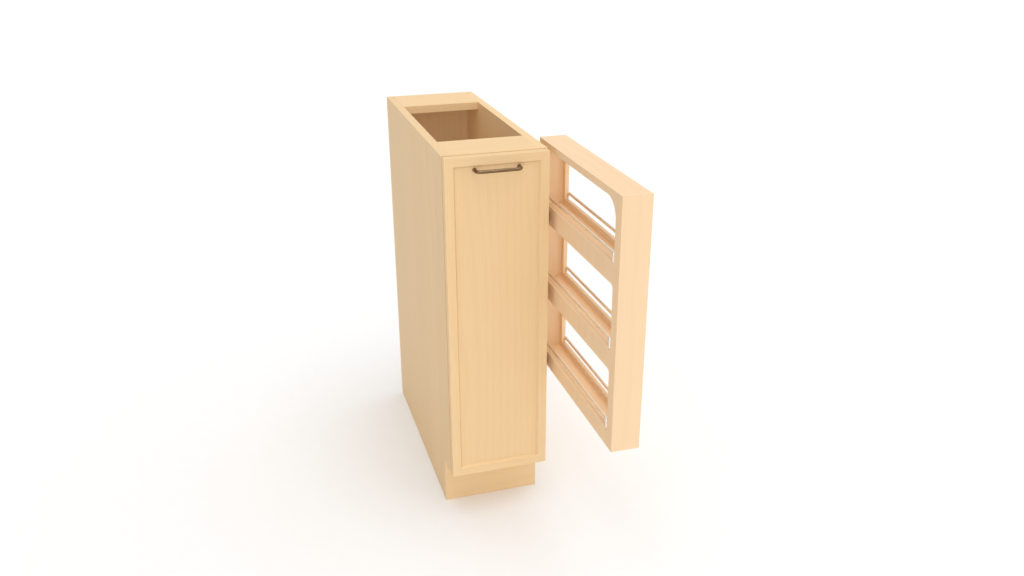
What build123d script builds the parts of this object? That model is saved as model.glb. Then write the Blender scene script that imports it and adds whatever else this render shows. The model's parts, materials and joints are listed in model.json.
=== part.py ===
from build123d import *
import os

# A narrow kitchen pull-out base cabinet with a slim three-tier rack on its right side.
# The front pulls out with an organizer behind it, on ball-bearing slides. The side rack
# rolls on two steel rails. Millimetres, +Z up, +X to the right, front towards -Y.
# The origin lies on the floor, at the middle of the toe kick's underside.

os.makedirs("parts", exist_ok=True)

# ---- Carcass ----
cabinet_width = 228.6
cabinet_height = 876.3
carcass_depth = 622.3
side_thickness = 19.0
bottom_thickness = 19.0
stretcher_thickness = 19.0
front_stretcher_depth = 116.0
rear_stretcher_depth = 136.0
back_thickness = 6.0
back_inset = 17.0          # space behind the back panel
groove_depth = 8.0         # how far the back panel runs into each side
groove_clearance = 0.5
back_relief = 60.0         # the back panel's upper corners stop this far short of its top
kick_setback = 60.0
kick_thickness = 12.0
kick_height = 114.3
dowel_diameter = 8.0
dowel_in_side = 12.0
dowel_in_panel = 18.0
dowel_end_gap = 1.0        # glue space at each end of a dowel
edge_ease = 0.8            # small rounding of every handled board edge

# ---- Front ----
door_gap = 2.0             # bumper space between carcass and front
door_thickness = 18.0
door_reveal = 1.5          # how far the front stays inside the carcass outline
door_drop = 4.3            # bottom edge of the front above the toe notch
frame_width = 19.0
bevel_width = 4.0
panel_recess = 6.0
tongue_thickness = 6.0
tongue_depth = 6.0
bumper_diameter = 9.0
handle_centres = 96.0
handle_diameter = 7.5
handle_reach = 21.0        # panel face to the middle of the bar
handle_bend = 10.0
handle_below_frame = 6.0   # bevel edge down to the middle of the bar
collar_diameter = 9.0
collar_thickness = 1.5
machine_screw_diameter = 4.0
machine_screw_grip = 11.0  # length inside the handle post
machine_head_diameter = 8.0
machine_head_thickness = 2.4

# ---- Organizer behind the front ----
organizer_board = 12.0
organizer_floor_gap = 7.0      # over the carcass bottom
organizer_headroom = 136.0     # top of its boards below the cabinet top
organizer_back_gap = 60.0      # rear board to the back panel
organizer_base_height = 60.0
organizer_shelf_inset = 10.0   # shelves stop this far inside the base sides
organizer_tiers = 3
organizer_rod_diameter = 6.0
organizer_rod_height = 48.0    # middle of a rod over its shelf

# ---- Ball-bearing slides, three members each ----
slide_width = 12.7
slide_height = 45.0
slide_metal = 1.2
slide_length = 500.0
slide_setback = 14.0           # behind the carcass front
ball_gap = 1.6                 # race to race
ball_clearance = 0.05
slide_face_gap = 1.5           # member edges to the next flat face
slide_lift = 8.0               # underside of the slide over the organizer's underside
slide_travel = 450.0
balls_per_row = 7
ball_pitch = 30.0
cage_thickness = 0.6
cage_width = 3.0

# ---- Wood screws ----
screw_diameter = 3.5
screw_head_diameter = 7.0
screw_head_height = 2.0
screw_length = 14.0
short_screw_length = 8.0
front_screw_length = 20.0

# ---- Side rack ----
rack_gap = 14.4                # cabinet side to the rack
rack_width = 60.0
rack_depth = 454.0
rack_height = 525.3
rack_reach = 361.0             # front of the rack ahead of the carcass, pulled out
rack_panel = 9.5
rack_board = 12.7
rack_stile = 14.3              # panel material in front of and behind the windows
rack_top_band = 15.3
rack_rail_height = 42.0
rack_bottom_rail = 35.0
rack_top_window = 122.0
rack_tiers = 3
rack_shelf_thickness = 12.0
rack_shelf_drop = 12.0         # shelf face below the rail tops
window_radius = 9.0
top_window_radius = 40.0
rod_diameter = 7.0
rod_height = 16.5              # middle of a rod over its rail
rod_bend = 10.0
rod_end_gap = 9.0              # rod leg to the end of the window
spigot_diameter = 4.0
spigot_length = 9.0

# ---- Rails and roller carriages ----
rail_metal = 1.6
rail_width = 12.6
rail_lip = 5.0
rail_setback = 16.0            # behind the carcass front
roller_diameter = 20.0
roller_clearance = 0.3         # over and under a roller in its rail
roller_width = 7.2
roller_side_gap = 0.2
wheelbase = 44.0
axle_diameter = 5.0
axle_clearance = 0.05
axle_head_diameter = 9.0
axle_head_thickness = 0.6
axle_shoulder_diameter = 8.0
carriage_length = 64.0
carriage_height = 24.0
carriage_metal = 1.3
carriage_back_gap = 3.0        # carriage to the rack's back edge
stop_length = 8.0
stop_gap = 2.0                 # roller to its stop at either end

# ---- Places worked out from the sizes above ----
half_width = cabinet_width / 2
inner_half = half_width - side_thickness
front = -(kick_setback + kick_thickness / 2)
back = front + carcass_depth
bottom_top = kick_height + bottom_thickness
stretcher_bottom = cabinet_height - stretcher_thickness
back_face = back - back_inset - back_thickness

door_back = front - door_gap
door_front = door_back - door_thickness
door_half = half_width - door_reveal
door_low = kick_height + door_drop
door_high = cabinet_height - door_reveal
panel_face = door_front + panel_recess
panel_half = door_half - frame_width - bevel_width
panel_low = door_low + frame_width + bevel_width
panel_high = door_high - frame_width - bevel_width
tongue_front = panel_face + (door_back - panel_face - tongue_thickness) / 2
handle_z = panel_high - handle_below_frame
bar_y = panel_face - handle_reach

organizer_half = inner_half - slide_width
organizer_low = bottom_top + organizer_floor_gap
organizer_high = cabinet_height - organizer_headroom
organizer_front = door_back + organizer_board
organizer_rear = back_face - organizer_back_gap
organizer_pitch = (organizer_high - organizer_low) / organizer_tiers
slide_z = organizer_low + slide_lift + slide_height / 2
slide_y = (front + slide_setback, front + slide_setback + slide_length)

near_x = half_width + rack_gap
far_x = near_x + rack_width
rack_front = front - rack_reach
rack_back = rack_front + rack_depth
rack_low = cabinet_height - rack_height
rack_high = cabinet_height
rack_pitch = (rack_height - rack_bottom_rail - rack_top_window - rack_top_band) / (rack_tiers - 1)
rail_tops = [rack_low + rack_bottom_rail + rack_pitch * i for i in range(rack_tiers)]
window_tops = [z - rack_rail_height for z in rail_tops[1:]] + [rack_high - rack_top_band]
panel_y = (rack_front + rack_board, rack_back - rack_board)
window_y = (panel_y[0] + rack_stile, panel_y[1] - rack_stile)
rack_travel = rack_reach - door_gap - door_thickness

roller_radius = roller_diameter / 2
track_half = roller_radius + roller_clearance
carriage_y = rack_back - carriage_back_gap - carriage_length / 2
roller_y = (carriage_y - wheelbase / 2, carriage_y + wheelbase / 2)
track_z = {
    "upper": rail_tops[-1] - rack_rail_height / 2,
    "lower": rack_low + rack_bottom_rail / 2,
}
rail_start = front + rail_setback
rail_end = roller_y[1] + rack_travel + roller_radius + stop_gap + stop_length
rail_face = half_width + rail_metal
axle_head_x = rail_face + roller_side_gap * 2
roller_x = axle_head_x + axle_head_thickness + roller_side_gap
carriage_x = near_x - carriage_metal


# ---- Helpers ----
def block(x, y, z, mode=Mode.ADD):
    """A rectangular block between the (low, high) pairs x, y and z."""
    with Locations(((x[0] + x[1]) / 2, (y[0] + y[1]) / 2, (z[0] + z[1]) / 2)):
        Box(x[1] - x[0], y[1] - y[0], z[1] - z[0], mode=mode)


def rod_along(axis, start, diameter, length, mode=Mode.ADD):
    """A round bar from start along the direction axis."""
    with Locations(Plane(origin=start, z_dir=axis)):
        Cylinder(diameter / 2, length, align=(Align.CENTER, Align.CENTER, Align.MIN), mode=mode)


def wood_screw(head, into, length, mode=Mode.ADD):
    """A countersunk screw, flush at the point head, that runs along into."""
    low = (Align.CENTER, Align.CENTER, Align.MIN)
    rod_along(into, head, screw_diameter, length, mode=mode)
    with Locations(Plane(origin=head, z_dir=into)):
        Cone(screw_head_diameter / 2, screw_diameter / 2, screw_head_height, align=low, mode=mode)


def save(made, name):
    """Label a finished sub-part and write its STEP file."""
    made.part.label = name
    export_step(made.part, "parts/" + name + ".step")


# ---- Dowels that hold the carcass together ----
dowel_places = (
    [(front + front_stretcher_depth * share, cabinet_height - stretcher_thickness / 2)
     for share in (0.25, 0.75)]
    + [(back - rear_stretcher_depth * share, cabinet_height - stretcher_thickness / 2)
       for share in (0.4, 0.8)]
    + [(front + carcass_depth * share, kick_height + bottom_thickness / 2)
       for share in (0.2, 0.5, 0.8)]
)


def dowels(side, extra=0.0, mode=Mode.ADD):
    """Every dowel on one side of the carcass, or its hole when extra is the end gap."""
    length = dowel_in_side + dowel_in_panel - 2 * dowel_end_gap + 2 * extra
    for y, z in dowel_places:
        start = (side * (inner_half - dowel_in_panel + dowel_end_gap - extra), y, z)
        rod_along((side, 0, 0), start, dowel_diameter, length, mode=mode)


with BuildPart() as carcass_dowels:
    for side in (-1, 1):
        dowels(side)
save(carcass_dowels, "carcass_dowels")

# ---- Places of the screws ----
slide_screw_y = [slide_y[0] + slide_length * share for share in (0.08, 0.5, 0.92)]
rail_screw_y = [rail_start + (rail_end - rail_start) * share for share in (0.12, 0.5, 0.88)]
slide_screw_x = inner_half - slide_metal


def rail_screw_set(mode=Mode.ADD):
    """The screws that hold both rails to the right side."""
    for z in track_z.values():
        for y in rail_screw_y:
            wood_screw((rail_face, y, z), (-1, 0, 0), screw_length, mode=mode)


def slide_screw_set(side, mode=Mode.ADD):
    """The screws that hold one outer slide member to its side."""
    for y in slide_screw_y:
        wood_screw((side * slide_screw_x, y, slide_z), (side, 0, 0), screw_length, mode=mode)


# ---- Carcass sides: toe notch, groove for the back, dowel and screw holes ----
for side, name in ((-1, "left_side"), (1, "right_side")):
    outer, inner = side * half_width, side * inner_half
    across = (min(outer, inner), max(outer, inner))
    groove = (min(inner, inner + side * groove_depth), max(inner, inner + side * groove_depth))
    notch_back = front + kick_setback + kick_thickness
    with BuildPart() as carcass_side:
        block(across, (front, back), (0, cabinet_height))
        fillet(carcass_side.edges().filter_by(Axis.Z).sort_by(Axis.Y)[:2], edge_ease)
        block(across, (front, notch_back), (0, kick_height), mode=Mode.SUBTRACT)
        block(
            groove,
            (back_face - groove_clearance / 2, back_face + back_thickness + groove_clearance / 2),
            (0, cabinet_height),
            mode=Mode.SUBTRACT,
        )
        dowels(side, extra=dowel_end_gap, mode=Mode.SUBTRACT)
        slide_screw_set(side, mode=Mode.SUBTRACT)
        if side > 0:
            rail_screw_set(mode=Mode.SUBTRACT)
    save(carcass_side, name)

# ---- Bottom, stretchers, back and toe kick ----
inside_x = (-inner_half, inner_half)
with BuildPart() as bottom_panel:
    block(inside_x, (front, back_face), (kick_height, bottom_top))
    for side in (-1, 1):
        dowels(side, extra=dowel_end_gap, mode=Mode.SUBTRACT)
save(bottom_panel, "bottom_panel")

with BuildPart() as front_stretcher:
    block(inside_x, (front, front + front_stretcher_depth), (stretcher_bottom, cabinet_height))
    for side in (-1, 1):
        dowels(side, extra=dowel_end_gap, mode=Mode.SUBTRACT)
save(front_stretcher, "front_stretcher")

with BuildPart() as rear_stretcher:
    block(inside_x, (back - rear_stretcher_depth, back), (stretcher_bottom, cabinet_height))
    for side in (-1, 1):
        dowels(side, extra=dowel_end_gap, mode=Mode.SUBTRACT)
save(rear_stretcher, "rear_stretcher")

with BuildPart() as back_panel:
    back_half = inner_half + groove_depth - groove_clearance
    block((-back_half, back_half), (back_face, back_face + back_thickness), (0, stretcher_bottom))
    for relief in ((-back_half, -inner_half), (inner_half, back_half)):
        block(
            relief,
            (back_face, back_face + back_thickness),
            (stretcher_bottom - back_relief, stretcher_bottom),
            mode=Mode.SUBTRACT,
        )
save(back_panel, "back_panel")

with BuildPart() as toe_kick:
    kick_y = (front + kick_setback, front + kick_setback + kick_thickness)
    block((-half_width, half_width), kick_y, (0, kick_height))
    fillet(toe_kick.edges().filter_by(Axis.Z).sort_by(Axis.Y)[:2], edge_ease)
save(toe_kick, "toe_kick")

# ---- Front: four mitred frame members around a tongued panel ----
tongue = (
    (-panel_half - tongue_depth, panel_half + tongue_depth),
    (tongue_front, tongue_front + tongue_thickness),
    (panel_low - tongue_depth, panel_high + tongue_depth),
)
handle_x = (-handle_centres / 2, handle_centres / 2)


def handle_screw_set(mode=Mode.ADD):
    """The machine screws through the panel into the handle posts."""
    for x in handle_x:
        start = (x, door_back, handle_z)
        length = door_back - panel_face + machine_screw_grip
        rod_along((0, -1, 0), start, machine_screw_diameter, length, mode=mode)


shelf_half = organizer_half - organizer_board
front_screw_x = shelf_half - organizer_shelf_inset
front_screw_z = [organizer_low + (organizer_high - organizer_low) * share for share in (0.2, 0.5, 0.93)]


def front_screw_set(mode=Mode.ADD):
    """The screws through the organizer's front board into the door panel."""
    for x in (-front_screw_x, front_screw_x):
        for z in front_screw_z:
            wood_screw((x, organizer_front, z), (0, -1, 0), front_screw_length, mode=mode)


with BuildPart() as door_panel:
    block((-panel_half, panel_half), (panel_face, door_back), (panel_low, panel_high))
    block(*tongue)
    handle_screw_set(mode=Mode.SUBTRACT)
    front_screw_set(mode=Mode.SUBTRACT)
save(door_panel, "door_panel")

outer_corners = [(-door_half, door_low), (door_half, door_low), (door_half, door_high), (-door_half, door_high)]
inner_corners = [(-panel_half, panel_low), (panel_half, panel_low), (panel_half, panel_high), (-panel_half, panel_high)]
frame_names = ["door_rail_bottom", "door_stile_right", "door_rail_top", "door_stile_left"]
for i, name in enumerate(frame_names):
    j = (i + 1) % 4
    with BuildPart() as frame_member:
        with BuildSketch(Plane.XZ.offset(-door_back)):
            with BuildLine():
                Polyline(outer_corners[i], outer_corners[j], inner_corners[j], inner_corners[i], close=True)
            make_face()
        extrude(amount=door_thickness)
        run = Axis.X if i % 2 == 0 else Axis.Z
        front_edges = frame_member.faces().sort_by(Axis.Y)[0].edges().filter_by(run)
        inner_edge = front_edges.sort_by(SortBy.LENGTH)[0]
        front_face = frame_member.faces().sort_by(Axis.Y)[0]
        chamfer(inner_edge, bevel_width, panel_recess, reference=front_face)
        outer_edge = frame_member.faces().sort_by(Axis.Y)[0].edges().filter_by(run).sort_by(SortBy.LENGTH)[-1]
        fillet(outer_edge, edge_ease)
        block(*tongue, mode=Mode.SUBTRACT)
    save(frame_member, name)

# ---- Handle: a bar bent back at both ends, with a collar at each foot ----
with BuildPart() as handle:
    with BuildLine():
        FilletPolyline(
            (handle_x[0], panel_face - collar_thickness, handle_z),
            (handle_x[0], bar_y, handle_z),
            (handle_x[1], bar_y, handle_z),
            (handle_x[1], panel_face - collar_thickness, handle_z),
            radius=handle_bend,
        )
    with BuildSketch(Plane(origin=(handle_x[0], panel_face - collar_thickness, handle_z), z_dir=(0, -1, 0))):
        Circle(handle_diameter / 2)
    sweep()
    for x in handle_x:
        rod_along((0, -1, 0), (x, panel_face, handle_z), collar_diameter, collar_thickness)
    handle_screw_set(mode=Mode.SUBTRACT)
save(handle, "handle")

with BuildPart() as handle_screws:
    handle_screw_set()
    for x in handle_x:
        rod_along((0, 1, 0), (x, door_back, handle_z), machine_head_diameter, machine_head_thickness)
save(handle_screws, "handle_screws")

bumper_z = (door_low + frame_width / 2, door_high - frame_width / 2)
with BuildPart() as door_bumpers:
    for x in (-door_half + frame_width / 2, door_half - frame_width / 2):
        for z in bumper_z:
            rod_along((0, 1, 0), (x, door_back, z), bumper_diameter, door_gap)
save(door_bumpers, "door_bumpers")

# ---- Organizer: two end boards, two base sides, three shelves and gallery rods ----
organizer_x = (-organizer_half, organizer_half)
organizer_z = (organizer_low, organizer_high)
base_z = (organizer_low, organizer_low + organizer_base_height)
shelf_y = (organizer_front, organizer_rear - organizer_board)

def inner_slide_screw_set(side, mode=Mode.ADD):
    """The screws that hold one inner slide member to the organizer's base side."""
    for y in slide_screw_y:
        head = (side * (organizer_half + slide_metal), y, slide_z)
        wood_screw(head, (-side, 0, 0), short_screw_length, mode=mode)


with BuildPart() as organizer_front_board:
    block(organizer_x, (door_back, organizer_front), organizer_z)
    front_screw_set(mode=Mode.SUBTRACT)
save(organizer_front_board, "organizer_front_board")
with BuildPart() as organizer_rear_board:
    block(organizer_x, (shelf_y[1], organizer_rear), organizer_z)
    upper = organizer_rear_board.edges().filter_by(Axis.Y).sort_by(Axis.Z)[-2:]
    fillet(upper, organizer_board)
save(organizer_rear_board, "organizer_rear_board")
with BuildPart() as organizer_screws:
    front_screw_set()
    for side in (-1, 1):
        inner_slide_screw_set(side)
save(organizer_screws, "organizer_screws")

for side, name in ((-1, "organizer_base_left"), (1, "organizer_base_right")):
    with BuildPart() as base_side:
        edges = (side * shelf_half, side * organizer_half)
        block((min(edges), max(edges)), shelf_y, base_z)
        inner_slide_screw_set(side, mode=Mode.SUBTRACT)
    save(base_side, name)

shelf_faces = []
for i, name in enumerate(("organizer_shelf_bottom", "organizer_shelf_middle", "organizer_shelf_top")):
    low = organizer_low + organizer_pitch * i
    half = shelf_half if i == 0 else organizer_half
    shelf_faces.append(low + organizer_board)
    with BuildPart() as organizer_shelf:
        block((-half, half), shelf_y, (low, low + organizer_board))
    save(organizer_shelf, name)

with BuildPart() as organizer_rods:
    rod_x = organizer_half - organizer_rod_diameter
    for face in shelf_faces[1:]:
        for x in (-rod_x, rod_x):
            start = (x, shelf_y[0], face + organizer_rod_height)
            rod_along((0, 1, 0), start, organizer_rod_diameter, shelf_y[1] - shelf_y[0])
save(organizer_rods, "organizer_rods")


# ---- Ball-bearing slides ----
def channel(web_x, lip_x, height, metal, y, z):
    """A C channel from its web at web_x to its flange tips at lip_x."""
    toward = 1 if lip_x > web_x else -1
    web = (web_x, web_x + toward * metal)
    span = (min(web_x, lip_x), max(web_x, lip_x))
    block((min(web), max(web)), y, (z - height / 2, z + height / 2))
    block(span, y, (z + height / 2 - metal, z + height / 2))
    block(span, y, (z - height / 2, z - height / 2 + metal))


middle_height = slide_height - 2 * slide_metal - 2 * ball_gap
inner_height = middle_height - 2 * slide_metal - 2 * ball_gap
outer_lip = organizer_half + slide_face_gap
middle_web = inner_half - slide_metal - slide_face_gap
inner_lip = middle_web - slide_metal - slide_face_gap
for side, hand in ((-1, "left"), (1, "right")):
    with BuildPart() as slide_outer:
        channel(side * inner_half, side * outer_lip, slide_height, slide_metal, slide_y, slide_z)
        slide_screw_set(side, mode=Mode.SUBTRACT)
    save(slide_outer, "slide_outer_" + hand)
    with BuildPart() as slide_middle:
        channel(side * middle_web, side * outer_lip, middle_height, slide_metal, slide_y, slide_z)
    save(slide_middle, "slide_middle_" + hand)
    with BuildPart() as slide_inner:
        channel(side * organizer_half, side * inner_lip, inner_height, slide_metal, slide_y, slide_z)
        inner_slide_screw_set(side, mode=Mode.SUBTRACT)
    save(slide_inner, "slide_inner_" + hand)

with BuildPart() as slide_screws:
    for side in (-1, 1):
        slide_screw_set(side)
save(slide_screws, "slide_screws")


def ball_row(x, z, y_start):
    """One row of balls in its thin cage strip."""
    length = ball_pitch * balls_per_row
    half_cage = cage_width / 2
    block((x - half_cage, x + half_cage), (y_start, y_start + length),
          (z - cage_thickness / 2, z + cage_thickness / 2))
    for i in range(balls_per_row):
        with Locations((x, y_start + ball_pitch * (i + 0.5), z)):
            Sphere(ball_gap / 2 - ball_clearance)


cage_start = slide_y[0] + slide_travel / 4 + slide_metal
outer_race = (outer_lip + middle_web) / 2
inner_race = (outer_lip + inner_lip) / 2
for name, race_x, race_z in (
    ("outer_ball_cages", outer_race, middle_height / 2 + ball_gap / 2),
    ("inner_ball_cages", inner_race, inner_height / 2 + ball_gap / 2),
):
    with BuildPart() as ball_cages:
        for side in (-1, 1):
            for z in (slide_z - race_z, slide_z + race_z):
                ball_row(side * race_x, z, cage_start)
    save(ball_cages, name)

# ---- Rails on the right side, with their stops and screws ----
for height, name in ((track_z["upper"], "rail_upper"), (track_z["lower"], "rail_lower")):
    lip_x = (half_width + rail_width - rail_metal, half_width + rail_width)
    with BuildPart() as rail:
        channel(half_width, lip_x[1], 2 * (track_half + rail_metal), rail_metal, (rail_start, rail_end), height)
        block(lip_x, (rail_start, rail_end), (height + track_half - rail_lip, height + track_half + rail_metal))
        block(lip_x, (rail_start, rail_end), (height - track_half - rail_metal, height - track_half + rail_lip))
        rail_screw_set(mode=Mode.SUBTRACT)
    save(rail, name)

with BuildPart() as rail_screws:
    rail_screw_set()
save(rail_screws, "rail_screws")

with BuildPart() as rail_stops:
    for height in track_z.values():
        for y in (rail_start, rail_end - stop_length):
            block((rail_face, lip_x[0]), (y, y + stop_length), (height - track_half, height + track_half))
save(rail_stops, "rail_stops")

# ---- Roller carriages on the rack ----
carriage_screw_y = (carriage_y - wheelbase / 4, carriage_y + wheelbase / 4)


def carriage_screw_set(mode=Mode.ADD):
    """The screws that hold both carriages to the rack's near side."""
    for z in track_z.values():
        for y in carriage_screw_y:
            wood_screw((carriage_x, y, z), (1, 0, 0), short_screw_length, mode=mode)


def axle_set(mode=Mode.ADD):
    """The four axles: head, journal, shoulder and the end held in the carriage."""
    shoulder_x = roller_x + roller_width + roller_side_gap
    for z in track_z.values():
        for y in roller_y:
            rod_along((1, 0, 0), (axle_head_x, y, z), axle_diameter, near_x - axle_head_x, mode=mode)
            rod_along((1, 0, 0), (axle_head_x, y, z), axle_head_diameter, axle_head_thickness, mode=mode)
            length = carriage_x - shoulder_x
            rod_along((1, 0, 0), (shoulder_x, y, z), axle_shoulder_diameter, length, mode=mode)


for name, height in track_z.items():
    with BuildPart() as carriage:
        block(
            (carriage_x, near_x),
            (carriage_y - carriage_length / 2, carriage_y + carriage_length / 2),
            (height - carriage_height / 2, height + carriage_height / 2),
        )
        fillet(carriage.edges().filter_by(Axis.X), carriage_height / 4)
        axle_set(mode=Mode.SUBTRACT)
        carriage_screw_set(mode=Mode.SUBTRACT)
    save(carriage, "carriage_" + name)
    for y, place in zip(roller_y, ("front", "rear")):
        with BuildPart() as roller:
            rod_along((1, 0, 0), (roller_x, y, height), roller_diameter, roller_width)
            fillet(roller.edges(), 1.0)
            bore = axle_diameter + 2 * axle_clearance
            rod_along((1, 0, 0), (roller_x, y, height), bore, roller_width, mode=Mode.SUBTRACT)
        save(roller, "roller_" + name + "_" + place)

with BuildPart() as roller_axles:
    axle_set()
save(roller_axles, "roller_axles")
with BuildPart() as carriage_screws:
    carriage_screw_set()
save(carriage_screws, "carriage_screws")

# ---- Rack boards ----
rack_x = (near_x, far_x)
between_x = (near_x + rack_panel, far_x - rack_panel)
leg_y = (window_y[0] + rod_end_gap, window_y[1] - rod_end_gap)
rod_centres = (near_x + rack_panel / 2, far_x - rack_panel / 2)


def spigot_set(x, mode=Mode.ADD):
    """The thin ends of the gallery rods, let into the rails of one side panel."""
    for z in rail_tops:
        for y in leg_y:
            rod_along((0, 0, -1), (x, y, z), spigot_diameter, spigot_length, mode=mode)


with BuildPart() as rack_front_board:
    block(rack_x, (rack_front, panel_y[0]), (rack_low, rack_high))
    fillet(rack_front_board.edges().filter_by(Axis.Z).sort_by(Axis.Y)[:2], edge_ease)
save(rack_front_board, "rack_front_board")
with BuildPart() as rack_rear_board:
    block(rack_x, (panel_y[1], rack_back), (rack_low, rack_high))
    fillet(rack_rear_board.edges().filter_by(Axis.Z).sort_by(Axis.Y)[-2:], edge_ease)
save(rack_rear_board, "rack_rear_board")
with BuildPart() as rack_top_board:
    block(between_x, panel_y, (rack_high - rack_shelf_thickness, rack_high))
save(rack_top_board, "rack_top_board")

for name, x, rod_x in (
    ("rack_near_side", near_x, rod_centres[0]),
    ("rack_far_side", far_x - rack_panel, rod_centres[1]),
):
    with BuildPart() as rack_side:
        with BuildSketch(Plane.YZ.offset(x)) as outline:
            with Locations(((panel_y[0] + panel_y[1]) / 2, (rack_low + rack_high) / 2)):
                Rectangle(panel_y[1] - panel_y[0], rack_high - rack_low)
            for low, high in zip(rail_tops, window_tops):
                with Locations(((window_y[0] + window_y[1]) / 2, (low + high) / 2)):
                    Rectangle(window_y[1] - window_y[0], high - low, mode=Mode.SUBTRACT)
                radius = top_window_radius if high == window_tops[-1] else window_radius
                corners = [v for v in outline.vertices() if abs(v.Y - high) < 0.001]
                corners = [v for v in corners if window_y[0] - 1 < v.X < window_y[1] + 1]
                fillet(corners, min(radius, (high - low) / 2 - 1))
        extrude(amount=rack_panel)
        spigot_set(rod_x, mode=Mode.SUBTRACT)
        if name == "rack_near_side":
            carriage_screw_set(mode=Mode.SUBTRACT)
    save(rack_side, name)

for rail_top, window_name in zip(rail_tops, ("bottom", "middle", "top")):
    shelf_face = rail_top - rack_shelf_drop
    with BuildPart() as rack_shelf:
        block(between_x, panel_y, (shelf_face - rack_shelf_thickness, shelf_face))
    save(rack_shelf, "rack_shelf_" + window_name)
    with BuildPart() as rack_rods:
        for x in rod_centres:
            with BuildPart(mode=Mode.PRIVATE) as one_rod:
                with BuildLine():
                    FilletPolyline(
                        (x, leg_y[0], rail_top),
                        (x, leg_y[0], rail_top + rod_height),
                        (x, leg_y[1], rail_top + rod_height),
                        (x, leg_y[1], rail_top),
                        radius=rod_bend,
                    )
                with BuildSketch(Plane.XY.offset(rail_top)):
                    with Locations((x, leg_y[0])):
                        Circle(rod_diameter / 2)
                sweep()
            add(one_rod.part)
            for y in leg_y:
                rod_along((0, 0, -1), (x, y, rail_top), spigot_diameter, spigot_length)
    save(rack_rods, "rack_rods_" + window_name)
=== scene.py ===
import json
import math
import random

import bmesh
import bpy
from mathutils import Matrix, Vector
from mathutils.bvhtree import BVHTree

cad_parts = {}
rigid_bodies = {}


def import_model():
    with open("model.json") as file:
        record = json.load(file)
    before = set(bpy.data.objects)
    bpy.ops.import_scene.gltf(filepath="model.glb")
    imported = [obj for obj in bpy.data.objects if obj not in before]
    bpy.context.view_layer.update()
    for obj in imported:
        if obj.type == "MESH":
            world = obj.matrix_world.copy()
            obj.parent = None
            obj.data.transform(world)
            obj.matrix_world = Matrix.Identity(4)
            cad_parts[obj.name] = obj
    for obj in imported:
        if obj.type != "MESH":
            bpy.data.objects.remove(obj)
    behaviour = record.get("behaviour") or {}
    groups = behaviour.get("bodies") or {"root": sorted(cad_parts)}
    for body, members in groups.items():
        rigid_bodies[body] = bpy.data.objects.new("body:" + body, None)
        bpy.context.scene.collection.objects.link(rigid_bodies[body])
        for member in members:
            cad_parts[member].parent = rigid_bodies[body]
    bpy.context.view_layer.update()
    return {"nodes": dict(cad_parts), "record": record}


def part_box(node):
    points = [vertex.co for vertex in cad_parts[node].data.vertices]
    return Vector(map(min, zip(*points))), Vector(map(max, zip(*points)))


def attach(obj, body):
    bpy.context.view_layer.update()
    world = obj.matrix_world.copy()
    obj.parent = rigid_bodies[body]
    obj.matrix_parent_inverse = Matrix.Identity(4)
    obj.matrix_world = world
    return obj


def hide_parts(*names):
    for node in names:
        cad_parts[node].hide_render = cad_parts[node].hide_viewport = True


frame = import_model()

# A narrow pull-out base cabinet with a slim rack that rolls along its right side.
# Metres, +Z up, front towards -Y, as in the frame.
MM = 0.001

# ---- Sizes of worked edges and small fittings, in metres ----
BOARD_EASE = 0.9 * MM            # rounding of a board's handled edges
FOLD_EASE = 1.1 * MM             # outer rounding of a folded steel channel
PLATE_EASE = 0.35 * MM           # rounding of flat steel plates and stops
EASE_STEPS = 3
JOINT_SHARE = 0.12               # share of the rounding where two boards meet
INNER_SHARE = 0.35               # share of the rounding in the inner corner of a fold
TIP_SHARE = 0.25                 # share of the rounding on an edge of a narrow face
SHORTEST_EASED_EDGE = 2.1 * MM   # edges of screw and dowel holes are shorter and stay sharp
JOINT_REACH = 0.3 * MM           # two boards this near each other meet
SLIVER = 0.004 * MM              # edges shorter than this are closed up
TURN_STEPS = 48
WOOD_SHANK = 1.75 * MM
WOOD_HEAD = 3.5 * MM
WOOD_HEAD_DEPTH = 2.0 * MM
HANDLE_BAR = 3.75 * MM
GALLERY_ROD = 3.5 * MM
SPIGOT = 2.0 * MM
SPIGOT_DEPTH = 9.0 * MM
ROD_BEND = 10.0 * MM
BALLS_PER_ROW = 7
DOWEL_FLUTES = 12
LONG_SCREW = 10.0 * MM           # the organizer's front fixings are longer than this along Y
ROLLER_RIBS = 6
COLLAR_THICKNESS = 1.5 * MM

# ---- Stage: metres and degrees ----
FLOOR_REACH = 40.0
SKY_LEVEL = 0.73
SKY_TILT = 0.36                  # brighter from the right than from the left by this much
LENS = 32.805
CAMERA_FROM_CORNER = (-0.4004, -1.8002, 1.3671)
CAMERA_TURNS = (66.998, 0.088, -17.053)
# name, energy, angle, turns about X, Y and Z, casts a shadow
LAMPS = (("overhead", 1.03, 50, (13, 2, 0), True), ("front_fill", 0.86, 60, (56, 0, -27), False))


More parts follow.
